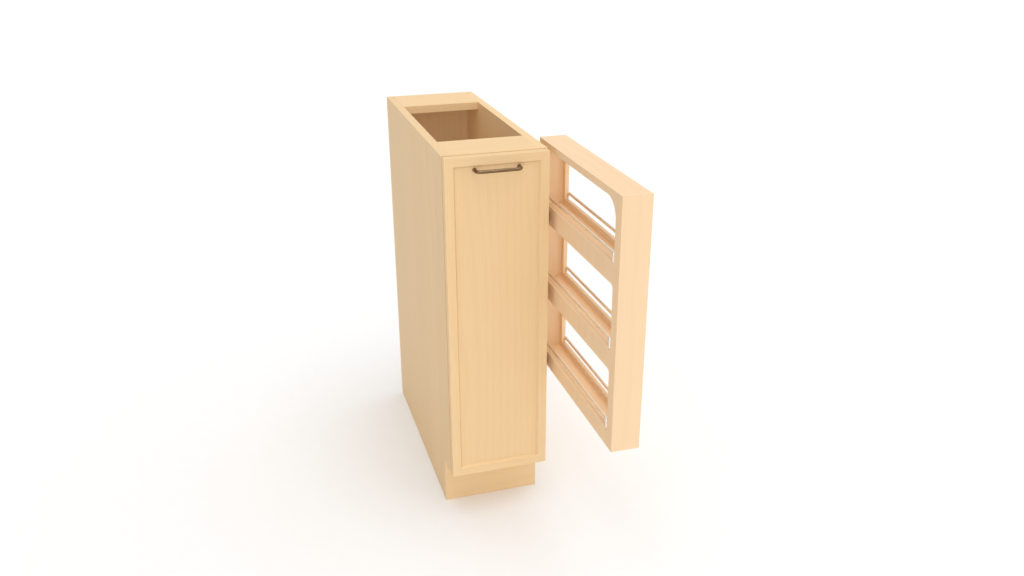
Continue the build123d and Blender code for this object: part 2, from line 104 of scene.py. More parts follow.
# ======================================================================
# Shader expressions
# ======================================================================
class Wire:
    """A number inside a material, which can be used in a Python expression."""

    def __init__(self, paint, socket):
        self.paint = paint
        self.socket = socket

    def maths(self, operation, *values):
        settings = {"operation": operation}
        return self.paint.node("ShaderNodeMath", settings, dict(enumerate(values)))

    def __add__(self, other):
        return self.maths("ADD", self, other)

    def __radd__(self, other):
        return self.maths("ADD", other, self)

    def __sub__(self, other):
        return self.maths("SUBTRACT", self, other)

    def __rsub__(self, other):
        return self.maths("SUBTRACT", other, self)

    def __mul__(self, other):
        return self.maths("MULTIPLY", self, other)

    def __rmul__(self, other):
        return self.maths("MULTIPLY", other, self)

    def __truediv__(self, other):
        return self.maths("DIVIDE", self, other)

    def __pow__(self, other):
        return self.maths("POWER", self, other)

    def sine(self):
        return self.maths("SINE", self)

    def step(self, low, high):
        """0 below low, 1 above high, and smooth between them."""
        inputs = {0: self, 1: low, 2: high, 3: 0.0, 4: 1.0}
        settings = {"interpolation_type": "SMOOTHSTEP"}
        return self.paint.node("ShaderNodeMapRange", settings, inputs)


class Paint:
    """One material and the nodes that colour it."""

    def __init__(self, name, metallic=0.0, roughness=0.5, coat=0.0, coat_roughness=0.1, ior=1.5):
        self.material = bpy.data.materials.new(name)
        self.material.use_nodes = True
        self.tree = self.material.node_tree
        self.surface = self.tree.nodes["Principled BSDF"]
        constants = {"Metallic": metallic, "Roughness": roughness, "Coat Weight": coat,
                     "Coat Roughness": coat_roughness, "IOR": ior}
        for socket, value in constants.items():
            self.surface.inputs[socket].default_value = value

    def feed(self, socket, value):
        """Sets a socket to a constant, or links a wire to it."""
        if isinstance(value, Wire):
            self.tree.links.new(value.socket, socket)
        else:
            socket.default_value = value

    def node(self, kind, settings=(), inputs=(), output=0):
        """A node with its settings made first, then its sockets fed."""
        made = self.tree.nodes.new(kind)
        for key, value in dict(settings).items():
            setattr(made, key, value)
        for key, value in dict(inputs).items():
            self.feed(made.inputs[key], value)
        return Wire(self, made.outputs[output])

    def blend(self, factor, first, second):
        """Colour first where factor is 0, second where it is 1."""
        settings = {"data_type": "RGBA", "clamp_factor": True}
        return self.node("ShaderNodeMix", settings, {0: factor, 6: first, 7: second}, output=2)

    def stretched(self, vector, scale):
        """A vector multiplied by three numbers."""
        return self.node("ShaderNodeVectorMath", {"operation": "MULTIPLY"}, {0: vector, 1: scale})

    def parts(self, vector):
        """The three numbers of a vector."""
        split = self.tree.nodes.new("ShaderNodeSeparateXYZ")
        self.tree.links.new(vector.socket, split.inputs[0])
        return [Wire(self, socket) for socket in split.outputs]

    def noise(self, vector, scale=1.0, detail=3.0, roughness=0.5):
        """Soft noise from 0 to 1."""
        inputs = {"Vector": vector, "Scale": scale, "Detail": detail, "Roughness": roughness}
        return self.node("ShaderNodeTexNoise", {"noise_dimensions": "3D"}, inputs)

    def own(self, attribute):
        """A vector stored on the piece."""
        settings = {"attribute_type": "GEOMETRY", "attribute_name": attribute}
        return self.node("ShaderNodeAttribute", settings, output="Vector")

    def place(self):
        """The point on the object, in metres."""
        return self.node("ShaderNodeTexCoord", output="Object")

    def bump(self, height, strength, distance):
        """Relief from a height between 0 and 1."""
        inputs = {"Height": height, "Strength": strength, "Distance": distance}
        self.set(Normal=self.node("ShaderNodeBump", inputs=inputs))

    def set(self, **sockets):
        for name, value in sockets.items():
            self.feed(self.surface.inputs[name.replace("_", " ")], value)


class Sky(Paint):
    """The studio's light from all round, painted with the same expressions."""

    def __init__(self, name):
        self.world = bpy.data.worlds.new(name)
        self.world.use_nodes = True
        self.tree = self.world.node_tree
        self.surface = self.tree.nodes["Background"]


def scaled(colour, factor):
    return (colour[0] * factor, colour[1] * factor, colour[2] * factor, 1.0)


# ======================================================================
# Finishes
# ======================================================================
def lacquered_wood(name, base, contrast=1.0, sheen_roughness=0.5):
    """Clear-lacquered maple or birch: faint rings, fine fibres, short dark flecks.

    The attribute "grain" holds, in metres, a point's place along the fibres, across the
    board and through it, shifted so that no two boards match. The other attribute is a
    brightness per board: a slight chance tone of its own, or, on the boards given a set
    level, painted light and shade.
    """
    paint = Paint(name, roughness=sheen_roughness, coat=0.05, coat_roughness=0.35, ior=1.38)
    paint.set(Specular_IOR_Level=0.15)
    grain = paint.own("grain")
    drift = paint.noise(paint.stretched(grain, (1.5, 8.0, 8.0)), detail=2.0)
    wander = paint.noise(paint.stretched(grain, (7.0, 60.0, 60.0)), detail=2.0)
    along, across, through = paint.parts(grain)
    heart_across = across + 0.12
    heart_through = through + 0.26
    ring_radius = (heart_across * heart_across + heart_through * heart_through) ** 0.5
    ring_phase = (ring_radius + drift * 0.045 + wander * 0.004) * 560.0
    rings = (ring_phase.sine() * 0.5 + 0.5) ** 2.5
    fibres = paint.noise(paint.stretched(grain, (16.0, 700.0, 700.0)), detail=5.0, roughness=0.65)
    pores = paint.noise(paint.stretched(grain, (110.0, 2200.0, 2200.0)), detail=2.0)
    flecks = paint.noise(paint.stretched(grain, (150.0, 900.0, 2600.0)), detail=1.0).step(0.66, 0.76)
    cloud = paint.noise(paint.stretched(grain, (1.4, 10.0, 10.0)), detail=3.0)
    tone = rings * 0.09 + fibres * 0.56 + cloud * 0.35
    darker = (base[0] * (1 - 0.050 * contrast), base[1] * (1 - 0.068 * contrast),
              base[2] * (1 - 0.105 * contrast), 1.0)
    lighter = (base[0] * (1 + 0.022 * contrast), base[1] * (1 + 0.022 * contrast),
               base[2] * (1 + 0.020 * contrast), 1.0)
    fleck_colour = (base[0] * 0.84, base[1] * 0.74, base[2] * 0.60, 1.0)
    plain = paint.blend(tone.step(0.12, 0.72), lighter, darker)
    flecked = paint.blend(flecks * (0.30 * contrast), plain, fleck_colour)
    # Each board's brightness factor: its own slight tone, or painted light and shade on boards with a set
    # level.
    tone_and_painted_light_level = paint.parts(paint.own("tone_and_painted_light"))[0]
    toned_with_painted_light = paint.node(
        "ShaderNodeVectorMath", {"operation": "SCALE"}, {0: flecked, "Scale": tone_and_painted_light_level}
    )
    paint.set(Base_Color=toned_with_painted_light, Roughness=pores * 0.16 + rings * 0.04 + (sheen_roughness - 0.09))
    paint.bump(pores * 0.6 + fibres * 0.4 - flecks * 0.4, 0.16, 0.00010)
    return paint.material


def oiled_bronze():
    """Dark bronze, brushed along the bar, rubbed brighter where it is touched."""
    paint = Paint("oil_rubbed_bronze", metallic=1.0, roughness=0.38)
    place = paint.place()
    brushed = paint.noise(paint.stretched(place, (60.0, 2600.0, 2600.0)), detail=3.0)
    rubbed = paint.noise(paint.stretched(place, (38.0, 120.0, 120.0)), detail=2.0).step(0.42, 0.70)
    tone = paint.blend(rubbed * 0.7, (0.24, 0.158, 0.088, 1), (0.40, 0.27, 0.16, 1))
    paint.set(Base_Color=paint.blend(brushed * 0.4, tone, (0.15, 0.090, 0.048, 1)))
    paint.set(Roughness=brushed * 0.16 + 0.26)
    paint.bump(brushed, 0.12, 0.00008)
    return paint.material


def plated_rod():
    """Warm satin plating with a very fine drawn texture."""
    paint = Paint("plated_rod", metallic=1.0, roughness=0.2)
    drawn = paint.noise(paint.stretched(paint.place(), (1800.0, 30.0, 1800.0)), detail=3.0)
    paint.set(Base_Color=paint.blend(drawn, (0.96, 0.90, 0.83, 1), (0.86, 0.80, 0.73, 1)))
    paint.set(Roughness=drawn * 0.12 + 0.22)
    paint.bump(drawn, 0.05, 0.00005)
    return paint.material


def zinc_plate(name, base, spangle=1.0):
    """Zinc-plated sheet with a faint crystal pattern and rolling marks along Y."""
    paint = Paint(name, metallic=1.0, roughness=0.34)
    place = paint.place()
    inputs = {"Vector": place, "Scale": 260.0}
    crystals = paint.node("ShaderNodeTexVoronoi", {"feature": "F1"}, inputs, output="Distance")
    rolled = paint.noise(paint.stretched(place, (1500.0, 40.0, 1500.0)), detail=3.0)
    tone = rolled * 0.6 + crystals * (0.6 * spangle)
    paint.set(Base_Color=paint.blend(tone, base, scaled(base, 0.72)))
    paint.set(Roughness=rolled * 0.18 + 0.24)
    paint.bump(rolled, 0.06, 0.00005)
    return paint.material


def nylon():
    """Off-white moulded nylon with a fine matt grain."""
    paint = Paint("roller_nylon", roughness=0.46)
    grain = paint.noise(paint.place(), scale=1400.0, detail=3.0)
    stain = paint.noise(paint.place(), scale=90.0, detail=2.0)
    paint.set(Base_Color=paint.blend(stain, (0.80, 0.78, 0.72, 1), (0.68, 0.655, 0.59, 1)))
    paint.set(Roughness=grain * 0.2 + 0.36)
    paint.bump(grain, 0.1, 0.00006)
    return paint.material


def gel_pad():
    """Clear soft bumper, seen against wood."""
    paint = Paint("bumper_gel", roughness=0.22)
    haze = paint.noise(paint.place(), scale=500.0, detail=2.0)
    paint.set(Base_Color=paint.blend(haze, (0.72, 0.66, 0.55, 1), (0.60, 0.54, 0.44, 1)))
    paint.set(Roughness=haze * 0.15 + 0.15)
    return paint.material


MAPLE = (0.805, 0.577, 0.330, 1.0)
BIRCH = (0.870, 0.634, 0.408, 1.0)
materials = {
    "carcass_maple": lacquered_wood("carcass_maple", MAPLE),
    "back_ply": lacquered_wood("back_ply", (0.74, 0.53, 0.305, 1.0), contrast=1.4),
    "front_maple": lacquered_wood("front_maple", MAPLE, sheen_roughness=0.46),
    "organizer_birch": lacquered_wood("organizer_birch", (0.83, 0.62, 0.385, 1.0)),
    "rack_birch": lacquered_wood("rack_birch", BIRCH),
    "dowel_beech": lacquered_wood("dowel_beech", (0.66, 0.46, 0.26, 1.0), contrast=1.4),
    "bronze": oiled_bronze(),
    "rod_metal": plated_rod(),
    "zinc_steel": zinc_plate("zinc_steel", (0.66, 0.67, 0.67, 1.0)),
    "ball_steel": zinc_plate("ball_steel", (0.80, 0.80, 0.79, 1.0), spangle=0.2),
    "screw_steel": zinc_plate("screw_steel", (0.68, 0.64, 0.55, 1.0), spangle=0.3),
    "roller_nylon": nylon(),
    "bumper_gel": gel_pad(),
}
body_of_node = {n: b for b, ns in frame["record"]["behaviour"]["bodies"].items() for n in ns}
slot_of_node = {s["node"]: s["material_slot"] for s in frame["record"]["subparts"]}


# ======================================================================
# Making and keeping pieces
# ======================================================================
def new_object(name, mesh):
    piece = bpy.data.objects.new(name, mesh)
    bpy.context.scene.collection.objects.link(piece)
    return piece


def mesh_of(name, shape):
    """A mesh from a bmesh, which is freed."""
    mesh = bpy.data.meshes.new(name)
    shape.to_mesh(mesh)
    shape.free()
    return mesh


def settled(piece):
    """The piece with its modifiers made part of its mesh."""
    graph = bpy.context.evaluated_depsgraph_get()
    mesh = bpy.data.meshes.new_from_object(piece.evaluated_get(graph))
    piece.modifiers.clear()
    old = piece.data
    piece.data = mesh
    bpy.data.meshes.remove(old)
    return piece


def keep(piece, node):
    """Puts a finished piece on its body, in place of the node it stands for."""
    if not piece.data.materials:
        piece.data.materials.append(materials[slot_of_node[node]])
    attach(piece, body_of_node[node])
    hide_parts(node)
    return piece


def smooth(mesh, angle=40):
    mesh.polygons.foreach_set("use_smooth", [True] * len(mesh.polygons))
    mesh.set_sharp_from_angle(angle=math.radians(angle))
    return mesh


def merged(node):
    """A bmesh of a node's shape with its loose triangles joined."""
    shape = bmesh.new()
    shape.from_mesh(frame["nodes"][node].data)
    bmesh.ops.remove_doubles(shape, verts=shape.verts, dist=2e-6)
    return shape


def solids_of(node):
    """The (low, high) corners and points of each separate solid in a node, in one fixed order."""
    shape = merged(node)
    waiting = set(shape.verts)
    found = []
    while waiting:
        reached = [waiting.pop()]
        points = []
        while reached:
            vert = reached.pop()
            points.append(vert.co.copy())
            for link in vert.link_edges:
                other = link.other_vert(vert)
                if other in waiting:
                    waiting.discard(other)
                    reached.append(other)
        low = Vector([min(p[i] for p in points) for i in range(3)])
        high = Vector([max(p[i] for p in points) for i in range(3)])
        found.append((low, high, points))
    shape.free()
    return sorted(found, key=lambda solid: [round(place, 5) for place in solid[0]])


# ======================================================================
# Geometry Nodes
# ======================================================================
class Growth:
    """A Geometry Nodes tree with named inputs, which turns a small mesh into a finished one."""

    def __init__(self, name, **inputs):
        self.tree = bpy.data.node_groups.new(name, "GeometryNodeTree")
        self.tree.interface.new_socket("Geometry", in_out="INPUT", socket_type="NodeSocketGeometry")
        self.ids = {}
        for label, kind in inputs.items():
            made = self.tree.interface.new_socket(label, in_out="INPUT", socket_type="NodeSocket" + kind)
            self.ids[label] = made.identifier
        self.tree.interface.new_socket("Geometry", in_out="OUTPUT", socket_type="NodeSocketGeometry")
        self.inputs = self.tree.nodes.new("NodeGroupInput").outputs

    def node(self, kind, settings=(), inputs=(), output=0):
        """A node with its settings made first, then its sockets fed; gives an output socket."""
        made = self.tree.nodes.new(kind)
        for key, value in dict(settings).items():
            setattr(made, key, value)
        for key, value in dict(inputs).items():
            if isinstance(value, bpy.types.NodeSocket):
                self.tree.links.new(value, made.inputs[key])
            else:
                made.inputs[key].default_value = value
        return made.outputs[output]

    def finish(self, geometry):
        """Ends the tree with real geometry that has its material."""
        real = self.node("GeometryNodeRealizeInstances", inputs={0: geometry})
        coated = self.node(
            "GeometryNodeSetMaterial", inputs={0: real, "Material": self.inputs["Finish"]}
        )
        end = self.tree.nodes.new("NodeGroupOutput")
        self.tree.links.new(coated, end.inputs[0])
        return self

    def grow(self, name, mesh, **values):
        """The finished mesh that the tree makes from a mesh and these sizes."""
        holder = new_object(name, mesh)
        modifier = holder.modifiers.new("growth", "NODES")
        modifier.node_group = self.tree
        for label, value in values.items():
            modifier[self.ids[label]] = value
        graph = bpy.context.evaluated_depsgraph_get()
        made = bpy.data.meshes.new_from_object(holder.evaluated_get(graph))
        bpy.data.objects.remove(holder)
        bpy.data.meshes.remove(mesh)
        return made


def bent_rod_tree():
    """A round rod along the edges of a mesh, bent at its corners."""
    growth = Growth("bent_rod", Radius="Float", Bend="Float", Finish="Material")
    path = growth.node("GeometryNodeMeshToCurve", inputs={0: growth.inputs["Geometry"]})
    bent = growth.node(
        "GeometryNodeFilletCurve",
        {"mode": "POLY"},
        {"Curve": path, "Radius": growth.inputs["Bend"], "Count": 10, "Limit Radius": True},
    )
    ring = growth.node(
        "GeometryNodeCurvePrimitiveCircle", inputs={"Resolution": 20, "Radius": growth.inputs["Radius"]}
    )
    rod = growth.node(
        "GeometryNodeCurveToMesh", inputs={"Curve": bent, "Profile Curve": ring, "Fill Caps": True}
    )
    return growth.finish(rod)


def fitted_set_tree():
    """A copy of one fitting at every point, aimed along the point's own direction."""
    growth = Growth("fitted_set", Fitting="Object", Seed="Int", Finish="Material")
    aim = growth.node(
        "GeometryNodeInputNamedAttribute", {"data_type": "FLOAT_VECTOR"}, {"Name": "aim"}
    )
    turn = growth.node(
        "FunctionNodeRandomValue",
        {"data_type": "FLOAT"},
        {2: 0.0, 3: 2 * math.pi, "Seed": growth.inputs["Seed"]},
        output=1,
    )
    spin = growth.node("ShaderNodeCombineXYZ", inputs={"Z": turn})
    facing = growth.node(
        "FunctionNodeAlignRotationToVector", {"axis": "Z"}, {"Rotation": spin, "Vector": aim}
    )
    fitting = growth.node(
        "GeometryNodeObjectInfo", {"transform_space": "ORIGINAL"},
        {"Object": growth.inputs["Fitting"], "As Instance": True}, output="Geometry",
    )
    placed = growth.node(
        "GeometryNodeInstanceOnPoints",
        inputs={"Points": growth.inputs["Geometry"], "Instance": fitting, "Rotation": facing},
    )
    return growth.finish(placed)


bent_rod = bent_rod_tree()
fitted_set = fitted_set_tree()


def run_rod(name, path, radius, finish, bend=0.0):
    """A rod of one radius through the points of a path."""
    mesh = bpy.data.meshes.new(name + "_path")
    mesh.from_pydata(path, [(i, i + 1) for i in range(len(path) - 1)], [])
    return bent_rod.grow(name, mesh, Radius=radius, Bend=bend, Finish=materials[finish])


def fit_set(name, fitting, places, aims, finish, seed=1):
    """One fitting at every place, along its aim."""
    template = new_object(name + "_one", fitting)
    mesh = bpy.data.meshes.new(name + "_points")
    mesh.from_pydata(places, [], [])
    attribute = mesh.attributes.new("aim", "FLOAT_VECTOR", "POINT")
    attribute.data.foreach_set("vector", [value for aim in aims for value in aim])
    made = fitted_set.grow(
        name, mesh, Fitting=template, Seed=seed, Finish=materials[finish]
    )
    bpy.data.objects.remove(template)
    return made


def joined(name, *meshes):
    """One mesh from several, which are removed."""
    shape = bmesh.new()
    finish = meshes[0].materials[0] if meshes[0].materials else None
    for mesh in meshes:
        shape.from_mesh(mesh)
        bpy.data.meshes.remove(mesh)
    bmesh.ops.recalc_face_normals(shape, faces=shape.faces)
    for face in shape.faces:
        face.material_index = 0
    whole = mesh_of(name, shape)
    if finish:
        whole.materials.append(finish)
    return smooth(whole)


# ======================================================================
# Turned shapes: (radius, place along the axis) pairs, axis along +Z
# ======================================================================
def add_turned(shape, profile, closed=False, steps=TURN_STEPS):
    """Turns a profile round the Z axis; an end at radius 0 becomes a pole."""
    rings = []
    for radius, height in profile:
        if radius == 0:
            rings.append([shape.verts.new((0, 0, height))])
            continue
        turns = [2 * math.pi * i / steps for i in range(steps)]
        rings.append([shape.verts.new((radius * math.cos(t), radius * math.sin(t), height)) for t in turns])
    pairs = list(zip(rings, rings[1:]))
    if closed:
        pairs.append((rings[-1], rings[0]))
    for one, two in pairs:
        for i in range(steps):
            j = (i + 1) % steps
            corners = [one[i % len(one)], one[j % len(one)], two[j % len(two)], two[i % len(two)]]
            corners = list(dict.fromkeys(corners))
            shape.faces.new(corners)
    return rings


def turned(name, profile, closed=False, steps=TURN_STEPS):
    shape = bmesh.new()
    add_turned(shape, profile, closed, steps)
    bmesh.ops.recalc_face_normals(shape, faces=shape.faces)
    return smooth(mesh_of(name, shape))


def screw(name, head_profile, shank, length, pitch, recess):
    """A screw with a cross recess and a rolled thread; its head faces -Z and it runs along +Z."""
    steps = 20
    shape = bmesh.new()
    rim = add_turned(shape, head_profile, steps=steps)
    thread_start = head_profile[-1][1] + pitch * 0.6
    thread_end = length - 1.6 * shank
    rows = int((thread_end - thread_start) / (pitch / 4))
    previous = rim[-1]
    root = shank * 0.76
    for row in range(rows + 1):
        height = thread_start + (thread_end - thread_start) * row / rows
        fade = min(1.0, row / 4, (rows - row) / 4)
        ring = []
        for i in range(steps):
            share = (height / pitch - i / steps) % 1.0
            crest = max(0.0, 1.0 - abs(share - 0.5) / 0.32)
            radius = root + (shank - root) * (crest * fade + (1.0 - fade) * 0.5)
            turn = 2 * math.pi * i / steps
            ring.append(shape.verts.new((radius * math.cos(turn), radius * math.sin(turn), height)))
        for i in range(steps):
            j = (i + 1) % steps
            shape.faces.new((previous[i], previous[j], ring[j], ring[i]))
        previous = ring
    tip = shape.verts.new((0, 0, length))
    for i in range(steps):
        shape.faces.new((previous[i], previous[(i + 1) % steps], tip))
    reach, half, depth = recess
    face_height = head_profile[0][1]

    def cross(size, height):
        wide, slim = size, half * (0.55 + 0.45 * size / reach)
        outline = [(slim, wide), (-slim, wide), (-slim, slim), (-wide, slim), (-wide, -slim), (-slim, -slim),
                   (-slim, -wide), (slim, -wide), (slim, -slim), (wide, -slim), (wide, slim), (slim, slim)]
        return [shape.verts.new((x, y, height)) for x, y in outline]

    upper = cross(reach, face_height)
    lower = cross(reach * 0.35, face_height + depth)
    around = []
    for ring in (rim[0], upper):
        for i, vert in enumerate(ring):
            other = ring[(i + 1) % len(ring)]
            around.append(shape.edges.get((vert, other)) or shape.edges.new((vert, other)))
    bmesh.ops.triangle_fill(shape, use_beauty=True, edges=around)
    for i in range(12):
        j = (i + 1) % 12
        shape.faces.new((upper[i], upper[j], lower[j], lower[i]))
    shape.faces.new(lower)
    bmesh.ops.recalc_face_normals(shape, faces=shape.faces)
    return smooth(mesh_of(name, shape), 35)


def wood_screw(length):
    """A countersunk wood screw."""
    head = [(WOOD_HEAD * 0.97, 0.0), (WOOD_HEAD, 0.12 * MM), (WOOD_SHANK, WOOD_HEAD_DEPTH)]
    return screw("wood_screw", head, WOOD_SHANK, length, 1.4 * MM, (1.9 * MM, 0.42 * MM, 1.4 * MM))


def machine_screw(length):
    """A pan-headed machine screw."""
    head = [(2.7 * MM, 0.0), (3.4 * MM, 0.3 * MM), (3.85 * MM, 0.9 * MM), (4.0 * MM, 1.7 * MM),
            (4.0 * MM, 2.4 * MM), (2.0 * MM, 2.4 * MM)]
    return screw("machine_screw", head, 2.0 * MM, length, 0.8 * MM, (1.9 * MM, 0.45 * MM, 1.3 * MM))


# ======================================================================
# Boards and folded steel: the node's own shape with worked edges
# ======================================================================
def store_grain(mesh, seed, level=None):
    """Keeps each point's place along, across and through the board, with a shift of its own."""
    spots = [v.co for v in mesh.vertices]
    low = [min(p[i] for p in spots) for i in range(3)]
    high = [max(p[i] for p in spots) for i in range(3)]
    order = sorted(range(3), key=lambda i: low[i] - high[i])
    chance = random.Random(seed)
    shift = [chance.uniform(0.0, 3.0), chance.uniform(-0.05, 0.05), chance.uniform(-0.05, 0.05)]
    middle = [(low[i] + high[i]) / 2 for i in range(3)]
    grain = mesh.attributes.new("grain", "FLOAT_VECTOR", "POINT")
    values = []
    for point in spots:
        values.extend(point[axis] - middle[axis] + shift[k] for k, axis in enumerate(order))
    grain.data.foreach_set("vector", values)
    # Brightness per board: a set level is painted light and shade; without one, a slight chance tone of its
    # own.
    tone_and_painted_light = mesh.attributes.new("tone_and_painted_light", "FLOAT_VECTOR", "POINT")
    level = level or chance.uniform(0.985, 1.01)
    tone_and_painted_light.data.foreach_set("vector", [level] * (3 * len(spots)))


def eased(node, ease, neighbours=(), inner=0.0):
    """The node's shape with its long edges rounded: less where it meets a neighbour."""
    shape = merged(node)
    flat = math.radians(0.6)
    bmesh.ops.dissolve_limit(shape, angle_limit=flat, verts=shape.verts, edges=shape.edges)
    shape.normal_update()
    weight = shape.edges.layers.float.new("bevel_weight_edge")
    for edge in shape.edges:
        if len(edge.link_faces) != 2 or edge.calc_length() < SHORTEST_EASED_EDGE:
            continue
        if edge.calc_face_angle(0.0) < math.radians(28):
            continue
        widths = [face.calc_area() / max(e.calc_length() for e in face.edges) for face in edge.link_faces]
        one, two = (vert.co for vert in edge.verts)
        spots = [one.lerp(two, share) for share in (0.2, 0.5, 0.8)]
        meets = all(any(tree.find_nearest(spot, JOINT_REACH)[0] for tree in neighbours) for spot in spots)
        if not edge.is_convex:
            edge[weight] = inner
        elif min(widths) < 2.2 * ease:
            edge[weight] = TIP_SHARE
        elif meets:
            edge[weight] = JOINT_SHARE
        else:
            edge[weight] = 1.0
    piece = new_object(node + "_finished", mesh_of(node + "_finished", shape))
    rounding = piece.modifiers.new("rounding", "BEVEL")
    rounding.limit_method = "WEIGHT"
    rounding.width = ease
    rounding.segments = EASE_STEPS
    rounding.use_clamp_overlap = False
    rounding.miter_outer = "MITER_SHARP"
    settled(piece)
    rounded = bmesh.new()
    rounded.from_mesh(piece.data)
    bmesh.ops.dissolve_degenerate(rounded, dist=SLIVER, edges=rounded.edges)
    rounded.to_mesh(piece.data)
    rounded.free()
    smooth(piece.data, 50)
    level = piece.modifiers.new("flat_faces", "WEIGHTED_NORMAL")
    level.keep_sharp = True
    level.weight = 100
    return settled(piece)


# Boards whose brightness is set as painted light and shade: the rack's shelves and the inside of
# the right side are lighter to offset the shade they stand in, and a few lit outer boards are a little
# lighter or darker. The others get a slight chance brightness, their own tone.
PAINTED_LIGHT_LEVELS = {"rack_front_board": 1.01, "door_panel": 0.99, "left_side": 0.99, "front_stretcher": 1.02,
             "rear_stretcher": 1.02, "right_side": 1.05, "rack_shelf_top": 1.07,
             "rack_shelf_middle": 1.07, "rack_shelf_bottom": 1.07}
WOOD_SLOTS = {"carcass_maple", "back_ply", "front_maple", "organizer_birch", "rack_birch"}


def finish_boards():
    """Works the edges of every board, less where it meets a board it is fixed to."""
    boards = sorted(node for node, slot in slot_of_node.items() if slot in WOOD_SLOTS)
    surfaces = {}
    for node in boards:
        board_shape = merged(node)
        surfaces[node] = BVHTree.FromBMesh(board_shape)
        board_shape.free()
    for seed, node in enumerate(boards):
        fixed_to = [surfaces[other] for other in boards
                    if other != node and body_of_node[other] == body_of_node[node]]
        board = eased(node, BOARD_EASE, fixed_to)
        # A set level, where a board has one, is painted light and shade.
        store_grain(board.data, seed, PAINTED_LIGHT_LEVELS.get(node))
        keep(board, node)


def finish_steel():
    """Works the edges of the folded channels, the carriages and the stops."""
    for node in ("slide_outer_left", "slide_outer_right", "slide_middle_left", "slide_middle_right",
                 "slide_inner_left", "slide_inner_right", "rail_upper", "rail_lower"):
        keep(eased(node, FOLD_EASE, inner=INNER_SHARE), node)
    for node in ("carriage_upper", "carriage_lower", "rail_stops"):
        keep(eased(node, PLATE_EASE), node)


# ======================================================================
# Fixings
# ======================================================================
def screw_spots(node, along):
    """Heads and directions of a node's screws, by rounded length; each head is the wide end."""
    groups = {}
    for low, high, points in solids_of(node):
        middle = (low + high) / 2
        length = high[along] - low[along]
        spread = {}
        for end in (low[along], high[along]):
            near = [p for p in points if abs(p[along] - end) < 0.1 * MM]
            spread[end] = max(math.dist(p, middle) ** 2 - (p[along] - middle[along]) ** 2 for p in near)
        head = max(spread, key=spread.get)
        place = middle.copy()
        place[along] = head
        aim = Vector((0, 0, 0))
        aim[along] = 1.0 if head == low[along] else -1.0
        places, aims = groups.setdefault(round(length / MM), ([], []))
        places.append(place)
        aims.append(aim)
    return groups


def rear_end(low, high):
    """The middle of a solid's rear face, where a screw driven forwards has its head."""
    return Vector(((low.x + high.x) / 2, high.y, (low.z + high.z) / 2))


def left_end(low, high):
    """The middle of a solid's left face."""
    return Vector((low.x, (low.y + high.y) / 2, (low.z + high.z) / 2))


def fit_screws(node, along, maker, seed):
    sets = []
    for length, (places, aims) in sorted(screw_spots(node, along).items()):
        sets.append(fit_set(node, maker(length * MM), places, aims, "screw_steel", seed))
    return sets


def fit_side_screws():
    """The screws of the slides, the rack's rails and its carriages."""
    for seed, node in enumerate(("slide_screws", "rail_screws", "carriage_screws")):
        screws = fit_screws(node, 0, wood_screw, seed + 11)
        keep(new_object(node + "_set", joined(node + "_set", *screws)), node)


def fit_handle_screws():
    """The machine screws that hold the handle from behind."""
    pull_screws = solids_of("handle_screws")
    pull_length = pull_screws[0][1].y - pull_screws[0][0].y
    pull_heads = [rear_end(low, high) for low, high, points in pull_screws]
    pull_set = fit_set("handle_screws", machine_screw(pull_length), pull_heads,
                       [Vector((0, -1, 0))] * len(pull_heads), "screw_steel", 21)
    keep(new_object("handle_screws_set", joined("handle_screws_set", pull_set)), "handle_screws")


def fit_organizer_screws():
    """Long screws into the front and short ones into the slides."""
    organizer_fixings = solids_of("organizer_screws")
    front_fixings = [s for s in organizer_fixings if s[1].y - s[0].y > LONG_SCREW]
    slide_fixings = [s for s in organizer_fixings if s[1].y - s[0].y <= LONG_SCREW]
    front_heads = [rear_end(low, high) for low, high, points in front_fixings]
    front_length = front_fixings[0][1].y - front_fixings[0][0].y
    front_set = fit_set("front_fixings", wood_screw(front_length), front_heads,
                        [Vector((0, -1, 0))] * len(front_heads), "screw_steel", 22)
    side_places = []
    side_aims = []
    for low, high, points in slide_fixings:
        side = 1 if low.x > 0 else -1
        outer_x = high.x if side > 0 else low.x
        side_places.append(Vector((outer_x, (low.y + high.y) / 2, (low.z + high.z) / 2)))
        side_aims.append(Vector((-side, 0, 0)))
    side_length = slide_fixings[0][1].x - slide_fixings[0][0].x
    side_set = fit_set("side_fixings", wood_screw(side_length), side_places, side_aims, "screw_steel", 23)
    keep(new_object("organizer_screws_set", joined("organizer_screws_set", front_set, side_set)),
         "organizer_screws")


def fit_dowels():
    """Fluted dowels, one in each joint of the carcass."""
    dowels = solids_of("carcass_dowels")
    dowel_length = dowels[0][1].x - dowels[0][0].x
    dowel_radius = (dowels[0][1].z - dowels[0][0].z) / 2
    dowel_shape = bmesh.new()
    sections = ((0.0, 0.72), (0.9 * MM, 0.97), (dowel_length - 0.9 * MM, 0.97), (dowel_length, 0.72))
    dowel_rings = []
    for height, share in sections:
        ring = []
        for i in range(DOWEL_FLUTES * 4):
            turn = 2 * math.pi * i / (DOWEL_FLUTES * 4)
            depth = 0.93 if i % 4 == 2 else 1.0
            radius = dowel_radius * share * depth
            ring.append(dowel_shape.verts.new((radius * math.cos(turn), radius * math.sin(turn), height)))
        dowel_rings.append(ring)
    for one, two in zip(dowel_rings, dowel_rings[1:]):
        for i in range(len(one)):
            j = (i + 1) % len(one)
            dowel_shape.faces.new((one[i], one[j], two[j], two[i]))
    dowel_shape.faces.new(dowel_rings[0])
    dowel_shape.faces.new(dowel_rings[-1])
    bmesh.ops.recalc_face_normals(dowel_shape, faces=dowel_shape.faces)
    dowel_places = [left_end(low, high) for low, high, points in dowels]
    dowel_set = fit_set("carcass_dowels", mesh_of("dowel", dowel_shape), dowel_places,
                        [Vector((1, 0, 0))] * len(dowel_places), "dowel_beech", 24)
    dowel_piece = new_object("carcass_dowels_set", joined("carcass_dowels_set", dowel_set))
    store_grain(dowel_piece.data, 90)
    keep(dowel_piece, "carcass_dowels")


